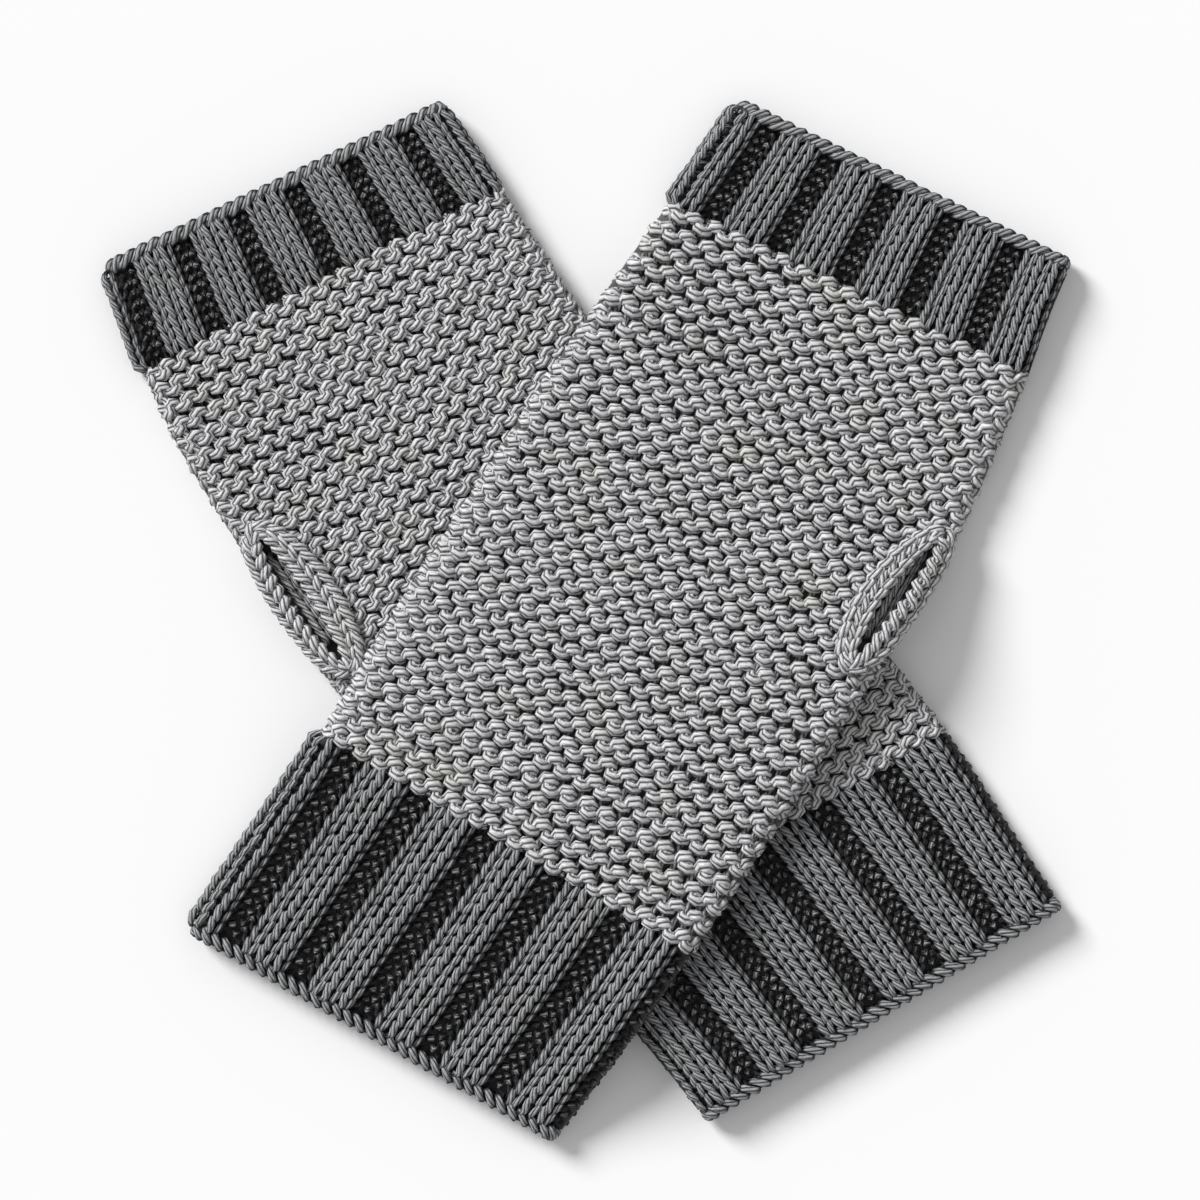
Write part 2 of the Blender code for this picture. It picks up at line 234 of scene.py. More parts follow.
# The edge of the panel underneath keeps this far off the floor, and is shaded as if this deep.
UNDER_EDGE_GAP = 0.15
UNDER_EDGE_SHADE = 0.3

# The thumb border's stitches, the turns that each side of it makes round the slit, and how many
# columns of legs each side shows. Its middle stands this far over its sides. Its yarn may spill over
# the band's sides by this share and past its ends by this length, and is shaded this much deeper.
BORDER = Stitch(3.2, 0.0, 1.2, 0.27, 0.0, 0.6, 0.1, 1.72, 0.04, 0.12, 0.0, 0.0)
BORDER_SIDES = (((0.0, math.pi), 3), ((2 * math.pi, math.pi), 2))
BORDER_STEPS = 361
BORDER_CROWN = 0.5
BORDER_SPILL = 0.06
BORDER_OVERRUN = 0.4
BORDER_SHADE = 0.4

# The hand's yarn ends under the border, at this share of the band's width.
BORDER_COVER = 0.55

# How uneven the knitting is, as typical shares of a stitch and of its yarn, and outwards in mm.
UNEVEN_ROW = 0.05
UNEVEN_ACROSS = 0.035
UNEVEN_UP = 0.05
UNEVEN_OUT = 0.12
UNEVEN_THICK = 0.05

# A stitch's yarn has this many points along it and sides round it, 72 small faces in all.
STITCH_POINTS = 12
YARN_SIDES = 6

# A strand that shows for fewer points than this is left out.
SHORTEST_STRAND = 4

# The names of one colour's materials and of its slot. The close-knit cloth is the underside, and the
# inner loops, a darker copy of it as painted shade, are what shows of the cloth between the yarn's
# stitches.
Wool = namedtuple("Wool", "yarn cloth inner slot")
GREY = Wool(
    "light_grey_plied_yarn", "light_grey_close_knit", "light_grey_inner_loops", "light_grey_yarn"
)
CHARCOAL = Wool("charcoal_plied_yarn", "charcoal_close_knit", "charcoal_inner_loops", "charcoal_yarn")

# How deep light reaches between the stitches, in millimetres, and how dark it is deeper down. The
# charcoal stitches lie closer.
LIGHT_REACH = {"light_grey": 2.0, "charcoal": 0.7}
UNLIT = 0.04

# The darkest and lightest fibres and the warm patches, as shares of the yarn's colour, then the inner
# loops, darkened as painted shade, and the painted shade in the gaps between them and in the gaps
# between the underside's loops.
DARK_FIBRES = 0.65
LIGHT_FIBRES = 1.4
WARM_PATCHES = (1.0, 1.0, 0.93)
INNER_LOOP_SHADE = 0.25
INNER_GAP_SHADE = 0.06
OUTER_GAP_SHADE = 0.25

# How high the plies and the close-knit loops stand, how far apart those loops are, and how wide the
# warm patches are.
PLY_RELIEF = 0.45
LOOP_RELIEF = 1.2
LOOP_PITCH = 3.9
PATCH_WIDTH = 9.0

# The stage, in metres: half the floor's width, where the light stands and where the camera stands
# over the floor. The white sky around it has this strength.
FLOOR_REACH = 3.0
KEY_PLACE = (-0.68, 0.62, 0.6)
CAMERA_X = 0.0024
CAMERA_Y = 0.0041
SKY_STRENGTH = 0.45


def linear(hex_colour):
    """An sRGB hex colour as linear red, green and blue."""
    values = [int(hex_colour[i : i + 2], 16) / 255 for i in (1, 3, 5)]
    return [v / 12.92 if v <= 0.04045 else ((v + 0.055) / 1.055) ** 2.4 for v in values]


def column(rows, field):
    """One column of a table."""
    return np.array([getattr(row, field) for row in rows], float)


def smooth_table(sections, along, field):
    """The value of one column of the sections' table, on a smooth curve through its rows."""
    places, values = column(sections, "along"), column(sections, field)
    before = np.maximum(np.arange(len(places)) - 1, 0)
    after = np.minimum(np.arange(len(places)) + 1, len(places) - 1)
    slopes = (values[after] - values[before]) / (places[after] - places[before])
    i = np.clip(np.searchsorted(places, along, side="right") - 1, 0, len(places) - 2)
    span = places[i + 1] - places[i]
    t = np.clip((along - places[i]) / span, 0.0, 1.0)
    ends = values[i] * (1 + 2 * t) * (1 - t) ** 2 + values[i + 1] * t * t * (3 - 2 * t)
    return ends + span * t * (1 - t) * (slopes[i] * (1 - t) - slopes[i + 1] * t)


def smooth_step(value):
    """A soft step from 0 to 1."""
    t = np.clip(value, 0.0, 1.0)
    return t * t * (3 - 2 * t)


def plan_point(mitt, along, across):
    """Where a place on a mitt lies on the floor."""
    heading = math.radians(mitt.heading)
    row = heading + np.radians(90 + smooth_table(mitt.sections, along, "turn"))
    x = mitt.finger_x + along * math.cos(heading) + across * np.cos(row)
    y = mitt.finger_y + along * math.sin(heading) + across * np.sin(row)
    return x, y


def distance_outside(mitt, x, y):
    """How far points lie outside a mitt's outline, and below zero inside it."""
    heading = math.radians(mitt.heading)
    dx, dy = x - mitt.finger_x, y - mitt.finger_y
    along = dx * math.cos(heading) + dy * math.sin(heading)
    across = dy * math.cos(heading) - dx * math.sin(heading)
    length = mitt.sections[-1].along
    inside = np.clip(along, 0.0, length)
    left, right = (smooth_table(mitt.sections, inside, side) for side in ("left", "right"))
    beside = np.abs(across) - np.where(across > 0, right, left)
    beyond = np.maximum(-along, along - length)
    corner = np.hypot(np.maximum(beside, 0.0), np.maximum(beyond, 0.0))
    return np.where((beside > 0) & (beyond > 0), corner, np.maximum(beside, beyond))


def lift(mitt, x, y):
    """How high the drape holds the upper mitt over the lower one."""
    if mitt is not UPPER:
        return 0.0 * x
    return LIFT * smooth_step(1 - (distance_outside(LOWER, x, y) - DRAPE_START) / DRAPE_RUN)


def widths(mitt, along):
    """How far a mitt reaches to the left and right of its middle line."""
    return [smooth_table(mitt.sections, along, side) for side in ("left", "right")]


def on_tube(mitt, along, reach, out, height):
    """Points on a flattened tube of this height. reach is measured round it from the middle line,
    over the top and round the folds, and out is how far the points stand off it."""
    left, right = widths(mitt, along)
    radius = height / 2
    flat = np.where(reach > 0, right, left) - radius
    angle = np.maximum(np.abs(reach) - flat, 0.0) / radius
    round_fold = angle > 0
    across = np.where(round_fold, flat + (radius + out) * np.sin(angle), np.abs(reach))
    level = np.where(round_fold, radius + (radius + out) * np.cos(angle), height + out)
    x, y = plan_point(mitt, along, np.sign(reach) * across)
    return np.stack([x, y, level + lift(mitt, x, y)], axis=-1)


def hand_share(mitt, along):
    """1 on the hand and 0 on the cuffs, with a soft step at each seam."""
    start, end = mitt.finger_cuff.end, mitt.wrist_cuff.start
    return smooth_step((along - start) / SEAM_STEP + 0.5) * smooth_step((end - along) / SEAM_STEP + 0.5)


def rib_place(mitt, cuff, along, reach):
    """Places across a cuff counted in ribs, whole numbers in the middles of the grooves."""
    left, right = widths(mitt, along)
    return ((reach + left) / (left + right) - cuff.first_gutter) / cuff.pitch


def rib_rise(place):
    """How high a cuff's ribs rise over its grooves."""
    place = np.mod(place, 1.0)
    return RIB_RISE * np.maximum(1 - np.abs((2 * place - 1) / RIB_FOOT) ** RIB_ROUNDNESS, 0.0)


def on_mitt(mitt, along, reach, out):
    """Points that stand off a mitt's knitted surface, the hand's or the ribbed cuffs'."""
    hand = hand_share(mitt, along)
    near_fingers = along < (mitt.finger_cuff.end + mitt.wrist_cuff.start) / 2
    finger_ribs = rib_rise(rib_place(mitt, mitt.finger_cuff, along, reach))
    wrist_ribs = rib_rise(rib_place(mitt, mitt.wrist_cuff, along, reach))
    rise = (1 - hand) * np.where(near_fingers, finger_ribs, wrist_ribs)
    height = GUTTER_HEIGHT + (HAND_HEIGHT - GUTTER_HEIGHT) * hand
    return on_tube(mitt, along, reach, out + rise, height)


def reach_limits(mitt, along, fold_reach):
    """How far round each side the yarn goes, left and right."""
    left, right = widths(mitt, along)
    past = HAND_HEIGHT / 2 * (fold_reach - 1)
    return -left - past, right + past


def off_underside(mitt, points, thick):
    """Which points of a yarn stay off the plane that the mitt's underside lies in."""
    return points[:, 2] - lift(mitt, points[:, 0], points[:, 1]) - thick / 2 > FOLD_CLEARANCE


def runs(keep):
    """The stretches of a list of true and false values that are true, as slices."""
    edges = np.flatnonzero(np.diff(np.concatenate([[0], keep.astype(int), [0]])))
    return [slice(a, b) for a, b in zip(edges[::2], edges[1::2]) if b - a >= SHORTEST_STRAND]


def loops(count, side_out, stitch, rng):
    """One row's yarn over count stitches: its place in stitches, how far up it is towards the
    fingers, how far out, and how thick it is. side_out gives the side of the cloth that shows at
    each place, 1 for the purl side and -1 for the knit side."""
    u = np.arange(count * STITCH_POINTS + 1) / STITCH_POINTS
    t = 2 * math.pi * u
    height = (stitch.row + stitch.overlap) / 2
    knots = np.arange(2 * count + 3) / 2
    uneven = [np.interp(u, knots, rng.normal(0.0, 1.0, len(knots))) for _ in range(4)]
    face = side_out(u)
    # The purl stitches between two ribs are squeezed into a groove.
    groove = (side_out is rib_face) * (face > 0)
    bulge = stitch.bulge * (1 - GROOVE_STRAIGHTER * groove)
    depth = stitch.depth * (1 + GROOVE_STEEPER * groove)
    across = u + bulge * np.sin(2 * t) - stitch.lean * np.cos(t) + UNEVEN_ACROSS * uneven[0]
    arc = (1 + stitch.flat) * np.cos(t) - stitch.flat * np.cos(3 * t)
    up = -height * arc * (1 + UNEVEN_UP * uneven[1])
    out = face * depth * np.cos(2 * t) + stitch.roll * np.sin(t) - stitch.twist * np.sin(2 * t)
    out = out + UNEVEN_OUT * uneven[2]
    swell = stitch.swell * (1 + groove) * face * np.cos(2 * t) + stitch.left * np.sin(t)
    swell = swell + UNEVEN_THICK * uneven[3]
    thick = stitch.yarn * (1 + swell)
    return across, up, out, thick


def strand_parts(points, thick, deep, keep):
    """The parts of a strand that are kept."""
    return [(points[part], thick[part], deep[part]) for part in runs(keep)]


def shown(mitt, points):
    """Which points of a yarn show: the lower mitt's are left out where the upper one covers them."""
    if mitt is UPPER:
        return np.ones(len(points), bool)
    return distance_outside(UPPER, points[:, 0], points[:, 1]) > -COVERED


def slit_inset(thumb, along):
    """How far inside the mitt's side the slit's middle line lies."""
    share = (along - thumb.middle) / thumb.slit
    return thumb.inset - thumb.bow * share * share + thumb.slant * share


def clear_of_slit(mitt, along, reach):
    """Which places on the hand lie outside the thumb border's middle line."""
    thumb = mitt.thumb
    width = widths(mitt, along)[mitt.thumb_side > 0]
    inset = width - mitt.thumb_side * reach - slit_inset(thumb, along)
    band = np.where(inset > 0, thumb.hand_band, thumb.side_band)
    half = thumb.gap / 2 + BORDER_COVER * band
    length = (thumb.slit + thumb.border) / 2
    return (inset / half) ** 2 + ((along - thumb.middle) / length) ** 2 > 1


def stitch_width(mitt, along):
    """How wide a hand's stitches are. They are widest by the finger cuff."""
    past = (along - mitt.finger_cuff.end) / SPREAD_RUN
    return mitt.hand_stitch.stitch + mitt.finger_spread * np.maximum(1 - past, 0.0) ** 2


def purl(across):
    """The purl side shows at every place."""
    return np.ones_like(across)


def plain(across):
    """The knit side shows at every place."""
    return -np.ones_like(across)


def hand_strands(mitt, rng):
    """The yarn of every row of a hand, purl side out. Beyond its ends only the heads or the feet of
    one more row show."""
    stitch = mitt.hand_stitch
    start, end = mitt.finger_cuff.end + SEAM_INSET, mitt.wrist_cuff.start - SEAM_INSET
    rows = round((end - start) / stitch.row)
    widest = max(max(section.left, section.right) for section in mitt.sections)
    count = math.ceil(ROW_LENGTH * widest / stitch.stitch)
    strands = []
    for row in range(-1, rows + 1):
        base = end - (row + 0.5) * (end - start) / rows
        shift = rng.normal(0.0, UNEVEN_ROW)
        across, up, out, thick = loops(count, purl, stitch, rng)
        reach = (across - count / 2 + shift) * stitch_width(mitt, base - up)
        slant = math.tan(math.radians(mitt.row_slant))
        slant *= math.sin(math.pi * (base - start) / (end - start))
        along = base - up + slant * reach
        low, high = reach_limits(mitt, along, HAND_FOLD_REACH)
        deep = stitch.depth + stitch.yarn / 2 - PROUD - out
        points = on_mitt(mitt, along, reach, -deep)
        keep = (reach > low) & (reach < high) & off_underside(mitt, points, thick)
        keep &= shown(mitt, points) & clear_of_slit(mitt, along, reach)
        keep &= (up > 0) if row == -1 else (up < 0) if row == rows else True
        strands += strand_parts(points, thick, deep, keep)
    return strands


def slit_strands(mitt, rng):
    """The knit side of the panel underneath, where it shows through the thumb's slit."""
    thumb, stitch = mitt.thumb, LINING
    side = mitt.thumb_side
    strands = []
    for row in range(math.ceil(thumb.border / stitch.row)):
        base = thumb.middle + thumb.border / 2 - (row + 0.5) * stitch.row
        across, up, out, thick = loops(LINING_STITCHES, plain, stitch, rng)
        along = base - up
        width = widths(mitt, along)[side > 0]
        middle = side * (width - HAND_HEIGHT / 2 - LINING_INSET)
        reach = middle + (across - LINING_STITCHES / 2) * stitch.stitch
        deep = HAND_HEIGHT - UNDER_TOP - stitch.yarn / 2 - BASE_WALL
        points = on_mitt(mitt, along, reach, out - deep)
        keep = ~clear_of_slit(mitt, along, reach) & (np.abs(reach) < width - HAND_HEIGHT / 2)
        strands += strand_parts(points, thick, LINING_SHADE - out, keep)
    return strands


def rib_face(across):
    """Which side shows at a place in stitches: -1 on the ribs and 1 in the grooves."""
    per_rib = len(RIB_STITCH_EDGES) - 1
    from_middle = np.abs(np.mod(across, per_rib) - per_rib / 2)
    return np.clip(FACE_CHANGE * (from_middle - KNIT_PER_RIB / 2), -1.0, 1.0)


def rib_row(mitt, cuff, stitch, base, rng):
    """The yarn of one row of a cuff: knit side out on the ribs, purl side out in the grooves."""
    per_rib = len(RIB_STITCH_EDGES) - 1
    count = (math.ceil(1 / cuff.pitch) + 3) * per_rib
    across, up, out, thick = loops(count, rib_face, stitch, rng)
    along = base - up
    whole = np.floor(across / per_rib)
    within = np.interp(across - whole * per_rib, range(per_rib + 1), RIB_STITCH_EDGES)
    left, right = widths(mitt, along)
    reach = (cuff.first_gutter + cuff.pitch * (whole - 2 + within)) * (left + right) - left
    low, high = reach_limits(mitt, along, CUFF_FOLD_REACH)
    groove = 1 - rib_rise(within) / RIB_RISE
    thick = thick * (1 - GROOVE_THINNER * groove)
    deep = stitch.depth + stitch.yarn / 2 - PROUD - out + GROOVE_DEEPER * groove
    points = on_mitt(mitt, along, reach, -deep)
    keep = shown(mitt, points) & (reach > low) & (reach < high)
    return strand_parts(points, thick, deep + GROOVE_DARKER * np.sqrt(groove), keep)


def rib_strands(mitt, cuff, stitch, start, end, rng):
    """The yarn of every row of a cuff."""
    rows = round((end - start) / stitch.row)
    strands = []
    for row in range(rows):
        base = end - (row + 0.5) * (end - start) / rows
        strands += rib_row(mitt, cuff, stitch, base, rng)
    return strands


def edge_strands(mitt, lip, seam, edge, rng):
    """The yarn of a mouth's edge: strands wound round each other along it, as in a rope. The panel
    underneath has the same edge, turned over."""
    low, high = (float(limit[0]) for limit in reach_limits(mitt, np.array([lip]), CUFF_FOLD_REACH))
    turns = (high - low) / edge.lay
    t = np.linspace(0.0, turns, round(turns * edge.points) + 1)
    strands = []
    for strand in range(edge.strands):
        angle = 2 * math.pi * (t + strand / edge.strands)
        along = (lip + seam) / 2 + np.sign(seam - lip) * edge.wide * np.cos(angle)
        reach = low + edge.lay * t - edge.lean * np.cos(angle)
        deep = edge.yarn / 2 + edge.high - PROUD - edge.high * np.sin(angle)
        points = on_tube(mitt, along, reach, -deep, EDGE_HEIGHT)
        thick = edge.yarn * (1 + UNEVEN_THICK * rng.normal(0.0, 1.0, len(points)))
        strands += strand_parts(points, thick, deep, shown(mitt, points))
        under = on_tube(mitt, along, reach, -deep - PROUD - UNDER_EDGE_GAP, EDGE_HEIGHT)
        middle = EDGE_HEIGHT / 2 + lift(mitt, under[:, 0], under[:, 1])
        under[:, 2] = 2 * middle - under[:, 2]
        strands += strand_parts(under, thick, np.full(len(under), UNDER_EDGE_SHADE), shown(mitt, under))
    return strands


def border_point(mitt, turn, share, out):
    """A place on the thumb's border: round the slit, across the band, and out from the hand."""
    thumb = mitt.thumb
    band = np.where(np.sin(turn) > 0, thumb.hand_band, thumb.side_band)
    inner_along, inner_in = thumb.slit * np.cos(turn), thumb.gap / 2 * np.sin(turn)
    outer_along = thumb.border * np.cos(turn)
    outer_in = (thumb.gap / 2 + band) * np.sin(turn)
    along = thumb.middle + inner_along + share * (outer_along - inner_along)
    inset = slit_inset(thumb, along) + inner_in + share * (outer_in - inner_in)
    width = widths(mitt, along)[mitt.thumb_side > 0]
    radius = HAND_HEIGHT / 2
    past = np.maximum(radius - inset, 0.0) / radius
    across = width - np.maximum(inset, radius) + (radius + out) * np.sin(past)
    height = radius + (radius + out) * np.cos(past)
    x, y = plan_point(mitt, along, mitt.thumb_side * across)
    return np.stack([x, y, height + lift(mitt, x, y)], axis=-1)


def border_strands(mitt, rng):
    """Knit rows across the border's band. On both sides of the slit they go up to the fingers."""
    strands = []
    for turns, legs in BORDER_SIDES:
        turn = np.linspace(*turns, BORDER_STEPS)
        middle_line = border_point(mitt, turn, np.full(len(turn), 0.5), np.full(len(turn), 1.0))
        steps = np.linalg.norm(np.diff(middle_line, axis=0), axis=1)
        travelled = np.concatenate([[0.0], np.cumsum(steps)])
        rows = round(travelled[-1] / mitt.border_row)
        length = travelled[-1] / rows
        stitch = BORDER._replace(row=length)
        for row in range(-1, rows + 1):
            across, up, out, thick = loops(2, plain, stitch, rng)
            place = (row + 0.5) * length + up
            share = 2 * across / legs
            keep = (share > -BORDER_SPILL) & (share < 1 + BORDER_SPILL)
            keep &= (place > -BORDER_OVERRUN) & (place < travelled[-1] + BORDER_OVERRUN)
            crown = BORDER_CROWN * (1 - (2 * share - 1) ** 2)
            deep = stitch.depth - out
            at = np.interp(place, travelled, turn)
            points = border_point(mitt, at, share, BORDER_THICK - stitch.yarn / 2 + crown - deep)
            strands += strand_parts(points, thick, deep + BORDER_SHADE, keep)
    return strands


def add_node(tree, kind, inputs=None, **settings):
    """A node of this kind with its settings and inputs. An input is a value or another's output."""
    node = tree.nodes.new(kind)
    for name, value in settings.items():
        setattr(node, name, value)
    for key, value in (inputs or {}).items():
        if isinstance(value, bpy.types.NodeSocket):
            tree.links.new(value, node.inputs[key])
        else:
            node.inputs[key].default_value = value
    return node


def yarn_material(name, base, tip, tint, reach, yarn):
    """Plied wool blend: soft, matte fibres twisted into plies, so light catches each ply's back,
    the grooves between plies are dark, and fine fibres streak along the yarn. The light on each
    ply's back is a painted highlight and the dark grooves are painted shade, besides their bump.
    base and tip are its darkest and lightest fibres, tint its warm patches, and reach how deep
    light gets between loops, below which the colour is darkened as painted shade."""
    material = bpy.data.materials.new(name)
    material.use_nodes = True
    tree = material.node_tree
    shader = tree.nodes["Principled BSDF"]
    calc = "ShaderNodeMath"
    strand = add_node(tree, "ShaderNodeAttribute", attribute_name="strand")
    part = add_node(tree, "ShaderNodeSeparateXYZ", {0: strand.outputs["Vector"]})
    angle = add_node(tree, calc, {0: part.outputs["Y"], 1: part.outputs["X"]}, operation="ARCTAN2")
    share = {0: angle.outputs[0], 1: yarn.plies / (2 * math.pi)}
    turned = add_node(tree, calc, share, operation="MULTIPLY")
    lay = {0: part.outputs["Z"], 1: MM * yarn.plies / yarn.ply_lay, 2: turned.outputs[0]}
    twisted = add_node(tree, calc, lay, operation="MULTIPLY_ADD")
    ply = add_node(tree, calc, {0: twisted.outputs[0]}, operation="FRACT")
    side = add_node(tree, calc, {0: ply.outputs[0], 1: 2.0, 2: -1.0}, operation="MULTIPLY_ADD")
    fall = add_node(tree, calc, {0: side.outputs[0], 1: side.outputs[0]}, operation="MULTIPLY")
    crown = add_node(tree, calc, {0: 1.0, 1: fall.outputs[0]}, operation="SUBTRACT")

    # Fibres about 0.1 mm apart would not show, so they are drawn two or three times as coarse.
    stretch = {0: strand.outputs["Vector"], 1: (2.6, 2.6, 1.1)}
    along = add_node(tree, "ShaderNodeVectorMath", stretch, operation="MULTIPLY")
    fibre_look = {"Vector": along.outputs[0], "Scale": 1.0, "Detail": 3.0, "Roughness": 0.75}
    noise = add_node(tree, "ShaderNodeTexNoise", fibre_look)
    spread = {"Value": noise.outputs["Fac"], "From Min": 0.32, "From Max": 0.68}
    fibres = add_node(tree, "ShaderNodeMapRange", spread)
    place = add_node(tree, "ShaderNodeTexCoord")
    # The two wools of the blend are mixed unevenly, so some patches are a little warmer.
    blend_look = {"Vector": place.outputs["Object"], "Scale": 1 / (PATCH_WIDTH * MM), "Detail": 2.0}
    blend = add_node(tree, "ShaderNodeTexNoise", blend_look)
    patches = {"Value": blend.outputs["Fac"], "From Min": 0.55, "From Max": 0.75}
    tinted = add_node(tree, "ShaderNodeMapRange", patches)

    light_and_dark = {0: fibres.outputs[0], 6: (*base, 1.0), 7: (*tip, 1.0)}
    fibre_colour = add_node(tree, "ShaderNodeMix", light_and_dark, data_type="RGBA")
    warmer = {0: tinted.outputs[0], 6: fibre_colour.outputs[2], 7: (*tint, 1.0)}
    wool_colour = add_node(tree, "ShaderNodeMix", warmer, data_type="RGBA")
    # Painted shade in the grooves between plies and a painted highlight on each ply's crown, which may
    # be up to 1.25 times as light as the yarn.
    groove = {"Value": crown.outputs[0], "From Max": 0.9, "To Min": yarn.groove_shade, "To Max": 1.25}
    shade = add_node(tree, "ShaderNodeMapRange", groove, interpolation_type="SMOOTHSTEP")
    # Painted shade: light hardly reaches what lies deep between the stitches, so the colour is darkened
    # there.
    deep = add_node(tree, "ShaderNodeAttribute", attribute_name="deep")
    fading = {"Value": deep.outputs["Fac"], "From Min": 0.1, "From Max": reach}
    fading |= {"To Min": 1.0, "To Max": UNLIT}
    reached = add_node(tree, "ShaderNodeMapRange", fading, interpolation_type="SMOOTHSTEP")
    both = {0: shade.outputs[0], 1: reached.outputs[0]}
    darkened = add_node(tree, calc, both, operation="MULTIPLY")
    shaded = {0: wool_colour.outputs[2], "Scale": darkened.outputs[0]}
    colour = add_node(tree, "ShaderNodeVectorMath", shaded, operation="SCALE")
    tree.links.new(colour.outputs[0], shader.inputs["Base Color"])

    height = {0: fibres.outputs[0], 1: 0.3, 2: crown.outputs[0]}
    relief = add_node(tree, calc, height, operation="MULTIPLY_ADD")
    raised = {"Height": relief.outputs[0], "Strength": 1.0, "Distance": PLY_RELIEF * MM}
    bump = add_node(tree, "ShaderNodeBump", raised)
    tree.links.new(bump.outputs["Normal"], shader.inputs["Normal"])
    shader.inputs["Roughness"].default_value = 0.85
    shader.inputs["Sheen Weight"].default_value = 0.1
    shader.inputs["Sheen Roughness"].default_value = 0.5
    shader.inputs["Specular IOR Level"].default_value = 0.2
    return material


def cloth_material(name, colour, shade):
    """The same yarn knitted close, seen where no single stitch is modelled: rows of small bumps."""
    material = bpy.data.materials.new(name)
    material.use_nodes = True
    tree = material.node_tree
    shader = tree.nodes["Principled BSDF"]
    place = add_node(tree, "ShaderNodeTexCoord")
    look = {"Vector": place.outputs["Object"], "Scale": 1 / (LOOP_PITCH * MM), "Randomness": 0.55}
    bumps = add_node(tree, "ShaderNodeTexVoronoi", look, feature="SMOOTH_F1")
    # Painted shade: the colour darkens towards shade in the gaps between the bumps.
    between = {0: bumps.outputs["Distance"], 6: (*colour, 1.0), 7: (*shade, 1.0)}
    mixed = add_node(tree, "ShaderNodeMix", between, data_type="RGBA")
    tree.links.new(mixed.outputs[2], shader.inputs["Base Color"])
    height = {0: 1.0, 1: bumps.outputs["Distance"]}
    turned = add_node(tree, "ShaderNodeMath", height, operation="SUBTRACT")
    raised = {"Height": turned.outputs[0], "Strength": 1.0, "Distance": LOOP_RELIEF * MM}
    bump = add_node(tree, "ShaderNodeBump", raised)
    tree.links.new(bump.outputs["Normal"], shader.inputs["Normal"])
    shader.inputs["Roughness"].default_value = 0.9
    return material


def carried_sides(tangents):
    """For each place on a strand a direction square to it that never turns about the strand."""
    side = np.cross(tangents[0], (0.0, 0.0, 1.0))
    sides = []
    for tangent in tangents:
        side = side - side.dot(tangent) * tangent
        side = side / math.sqrt(side.dot(side))
        sides.append(side)
    return np.array(sides)


def yarn_mesh(name, strands):
    """Round yarn along every strand. Its attributes keep the direction round the strand with the
    length along it, and how deep below the cloth's top each place lies, in millimetres, with extra
    depth added where a strand is given more painted shade. The yarn's material darkens deep
    places, among them the yarn's undersides, as painted shade."""
    turn = 2 * math.pi * np.arange(YARN_SIDES) / YARN_SIDES
    verts, marks, depths, quads, ends = [], [], [], [], []
    first, travelled = 0, 0.0
    for strand, thickness, deep in strands:
        tangents = np.gradient(strand, axis=0)
        tangents = tangents / np.linalg.norm(tangents, axis=1)[:, None]
        side = carried_sides(tangents)[:, None]
        up = np.cross(tangents[:, None], side)
        spokes = np.cos(turn)[None, :, None] * side + np.sin(turn)[None, :, None] * up
        verts.append((strand[:, None] + spokes * thickness[:, None, None] / 2).reshape(-1, 3))
        steps = np.linalg.norm(np.diff(strand, axis=0), axis=1)
        length = travelled + np.concatenate([[0.0], np.cumsum(steps)])
        travelled = length[-1]
        mark = np.empty((len(strand), YARN_SIDES, 3))
        mark[:, :, 0], mark[:, :, 1], mark[:, :, 2] = np.cos(turn), np.sin(turn), length[:, None]
        marks.append(mark.reshape(-1, 3))
        depths.append((deep[:, None] - spokes[:, :, 2] * thickness[:, None] / 2).ravel())
        ring = first + np.arange(len(strand) - 1)[:, None] * YARN_SIDES
        here, there = np.arange(YARN_SIDES), (np.arange(YARN_SIDES) + 1) % YARN_SIDES
        corners = [ring + here, ring + there, ring + YARN_SIDES + there, ring + YARN_SIDES + here]
        quads.append(np.stack(corners, axis=-1).reshape(-1, 4))
        last = first + (len(strand) - 1) * YARN_SIDES
        ends.append(list(range(first + YARN_SIDES - 1, first - 1, -1)))
        ends.append(list(range(last, last + YARN_SIDES)))
        first += len(strand) * YARN_SIDES
    mesh = bpy.data.meshes.new(name)
    mesh.from_pydata((np.concatenate(verts) * MM).tolist(), [], np.concatenate(quads).tolist() + ends)
    attribute = mesh.attributes.new("strand", "FLOAT_VECTOR", "POINT")
    attribute.data.foreach_set("vector", np.concatenate(marks).astype(np.float32).ravel())
    attribute = mesh.attributes.new("deep", "FLOAT", "POINT")
    attribute.data.foreach_set("value", np.concatenate(depths).astype(np.float32))
    return mesh


def yarn_piece(name, strands, material):
    """The object that the strands of yarn make."""
    mesh = yarn_mesh(name, strands)
    mesh.materials.append(material)
    mesh.shade_smooth()
    piece = bpy.data.objects.new(name, mesh)
    bpy.context.scene.collection.objects.link(piece)
    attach(piece, "root")
    return piece


